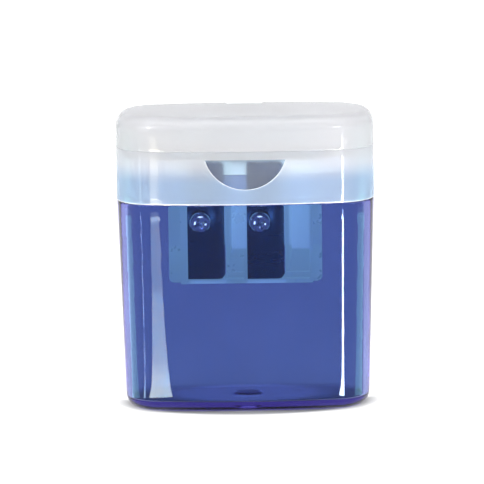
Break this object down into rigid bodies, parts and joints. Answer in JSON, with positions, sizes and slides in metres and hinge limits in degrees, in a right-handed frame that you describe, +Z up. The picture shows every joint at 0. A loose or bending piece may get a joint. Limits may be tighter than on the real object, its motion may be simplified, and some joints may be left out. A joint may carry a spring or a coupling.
{
  "type": "container pencil sharpener",
  "caption": "Hand-held pencil sharpener: clear blue shavings tub, frosted pull-off cap with a thumb recess and flip lid, and steel blades for standard and jumbo pencils.",
  "frame": {"origin": "centre of the tub's footprint, on the surface that the tub stands on", "axes": "+Z up along the tub towards the lid, +X across the wide front face, -Y out of the front face with the thumb recess, pencils go in along -Z"},
  "size_m": [0.05, 0.024, 0.058],
  "materials": {
    "blue_clear_plastic": "polished, transparent",
    "frosted_plastic": "fine frosted, translucent",
    "insert_plastic": "satin, translucent",
    "blade_steel": "ground",
    "screw_steel": "bright plated"
  },
  "bodies": {
    "tub": {"shavings_tub": "blue_clear_plastic"},
    "cap": {"cap_base": "frosted_plastic", "sharpening_insert": "insert_plastic", "blade_standard": "blade_steel", "blade_jumbo": "blade_steel", "blade_screw_standard": "screw_steel", "blade_screw_jumbo": "screw_steel"},
    "lid": {"flip_lid": "frosted_plastic", "hinge_pin": "frosted_plastic"}
  },
  "joints": [
    {"name": "cap_lift", "type": "slide", "parent": "tub", "child": "cap", "axis": [0, 0, 1], "range_m": [0, 0.03]},
    {"name": "lid_hinge", "type": "hinge", "parent": "cap", "child": "lid", "pos_m": [0, 0.0102, 0.0554], "axis": [-1, 0, 0], "range_deg": [0, 110]}
  ]
}
